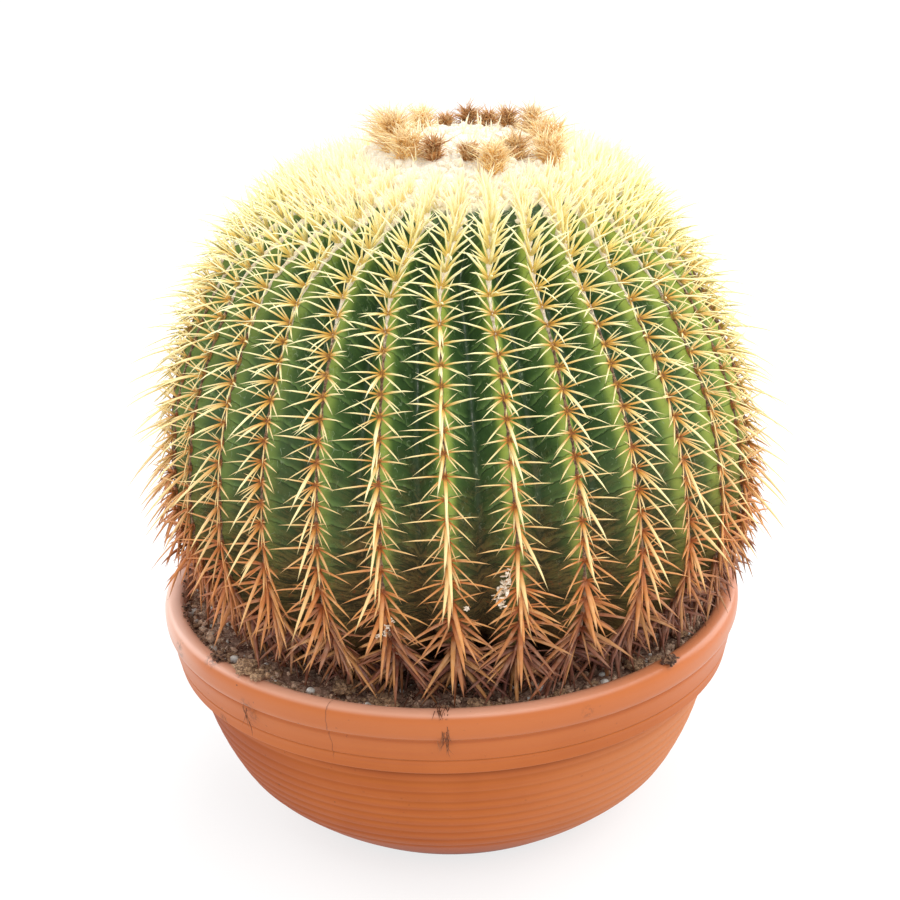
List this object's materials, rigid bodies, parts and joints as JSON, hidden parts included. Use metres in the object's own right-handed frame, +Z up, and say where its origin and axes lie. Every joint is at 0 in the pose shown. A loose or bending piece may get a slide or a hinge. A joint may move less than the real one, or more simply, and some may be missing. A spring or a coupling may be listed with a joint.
{
  "type": "potted golden barrel cactus",
  "caption": "Round ribbed barrel cactus with rows of straw-coloured spines and a woolly crown with dried flowers, in soil in a wide terracotta-coloured bowl.",
  "frame": {"origin": "centre of the bowl's foot, on the surface it stands on", "axes": "+Z up along the bowl's axis; the plant's front faces -Y, and the stem leans a little towards +X"},
  "size_m": [0.432, 0.4314, 0.4786],
  "materials": {
    "terracotta": "satin",
    "potting_soil": "matt, damp",
    "green_skin": "waxy satin",
    "white_wool": "soft matt",
    "spines": "satin",
    "dried_flower": "dry matt",
    "bark": "rough matt",
    "perlite": "rough matt"
  },
  "bodies": {
    "root": {"pot": "terracotta", "soil": "potting_soil", "stem": "green_skin", "crown_wool": "white_wool", "dried_flower_01": "dried_flower", "dried_flower_02": "dried_flower", "dried_flower_03": "dried_flower", "dried_flower_04": "dried_flower", "dried_flower_05": "dried_flower", "dried_flower_06": "dried_flower", "dried_flower_07": "dried_flower", "dried_flower_08": "dried_flower", "dried_flower_09": "dried_flower", "dried_flower_10": "dried_flower", "dried_flower_11": "dried_flower", "dried_flower_12": "dried_flower", "dried_flower_13": "dried_flower", "dried_flower_14": "dried_flower", "dried_flower_15": "dried_flower", "bark_chip_1": "bark", "bark_chip_2": "bark", "bark_chip_3": "bark", "bark_chip_4": "bark", "bark_chip_5": "bark", "bark_chip_6": "bark", "bark_chip_7": "bark", "perlite_1": "perlite", "perlite_2": "perlite", "perlite_3": "perlite", "perlite_4": "perlite", "spine_row_01": "spines", "spine_row_02": "spines", "spine_row_03": "spines", "spine_row_04": "spines", "spine_row_05": "spines", "spine_row_06": "spines", "spine_row_07": "spines", "spine_row_08": "spines", "spine_row_09": "spines", "spine_row_10": "spines", "spine_row_11": "spines", "spine_row_12": "spines", "spine_row_13": "spines", "spine_row_14": "spines", "spine_row_15": "spines", "spine_row_16": "spines", "spine_row_17": "spines", "spine_row_18": "spines", "spine_row_19": "spines", "spine_row_20": "spines", "spine_row_21": "spines", "spine_row_22": "spines", "spine_row_23": "spines", "spine_row_24": "spines", "spine_row_25": "spines", "spine_row_26": "spines", "spine_row_27": "spines", "spine_row_28": "spines", "spine_row_29": "spines", "spine_row_30": "spines"}
  },
  "joints": []
}
